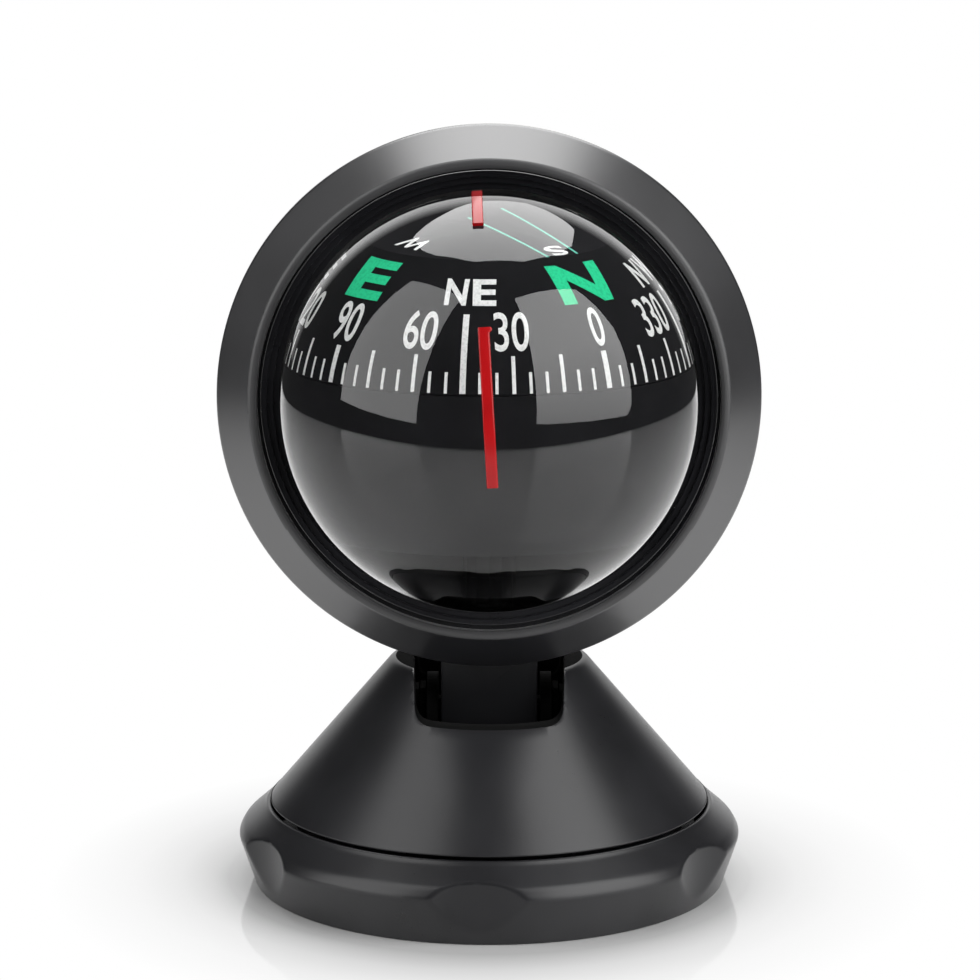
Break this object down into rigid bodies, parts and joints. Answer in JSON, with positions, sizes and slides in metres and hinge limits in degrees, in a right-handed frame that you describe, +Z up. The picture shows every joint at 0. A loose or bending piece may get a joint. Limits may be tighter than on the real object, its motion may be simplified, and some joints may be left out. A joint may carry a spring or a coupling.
{
  "type": "dashboard ball compass",
  "caption": "Liquid-filled ball compass with a floating card under a clear dome, on a head that tilts and a cone foot that swivels.",
  "frame": {"origin": "centre of the flat underside of the foot, on the surface that the compass stands on", "axes": "+Z up along the cone's swivel axis, the dial looks towards -Y, +X to the right of someone reading the dial"},
  "size_m": [0.05, 0.0558, 0.0723],
  "materials": {
    "satin_black": "satin moulded black with a fine grain",
    "gloss_black": "polished black",
    "clear_acrylic": "polished clear",
    "card_black": "black with white and green print",
    "index_red": "gloss red",
    "black_rubber": "soft black rubber",
    "adhesive_foam": "closed-cell foam tape",
    "plated_steel": "zinc plated",
    "magnet_steel": "dark sintered magnet",
    "jewel": "polished jewel"
  },
  "bodies": {
    "base": {"grip_ring": "satin_black", "base_plate": "satin_black", "adhesive_pad": "adhesive_foam", "plate_screw_1": "plated_steel", "plate_screw_2": "plated_steel", "plate_screw_3": "plated_steel", "swivel_screw": "plated_steel", "swivel_washer": "plated_steel", "swivel_nut": "plated_steel"},
    "turret": {"cone_housing": "satin_black", "hinge_bracket": "plated_steel", "bracket_screw_1": "plated_steel", "bracket_screw_2": "plated_steel", "hinge_washer_left": "plated_steel", "hinge_washer_right": "plated_steel", "hinge_bolt": "plated_steel", "hinge_nut": "plated_steel"},
    "head": {"rear_housing": "satin_black", "front_bezel": "satin_black", "housing_screw_1": "plated_steel", "housing_screw_2": "plated_steel", "housing_screw_3": "plated_steel", "seat_ring": "gloss_black", "capsule_dome": "clear_acrylic", "capsule_gasket": "black_rubber", "capsule_cup": "gloss_black", "filler_plug": "black_rubber", "pivot_pin": "plated_steel", "pivot_post": "gloss_black", "lubber_line_front": "index_red", "lubber_line_top": "index_red"},
    "card_rocker": {"jewel_cup": "jewel"},
    "card": {"card_dome": "card_black", "card_skirt": "card_black", "magnet_left": "magnet_steel", "magnet_right": "magnet_steel"}
  },
  "joints": [
    {"name": "base_swivel", "type": "hinge", "parent": "base", "child": "turret", "pos_m": [0, 0, 0.0075], "axis": [0, 0, 1], "continuous": true},
    {"name": "head_tilt", "type": "hinge", "parent": "turret", "child": "head", "pos_m": [0, 0, 0.016], "axis": [-1, 0, 0], "range_deg": [-15, 30]},
    {"name": "card_level", "type": "hinge", "parent": "head", "child": "card_rocker", "pos_m": [0, -0.01275, 0.04765], "axis": [-1, 0, 0], "range_deg": [-30, 15]},
    {"name": "card_spin", "type": "hinge", "parent": "card_rocker", "child": "card", "pos_m": [0, -0.01275, 0.04765], "axis": [0, 0, 1], "continuous": true}
  ],
  "couplings": [
    {"joint": "card_level", "follows": "head_tilt", "ratio": -1}
  ]
}
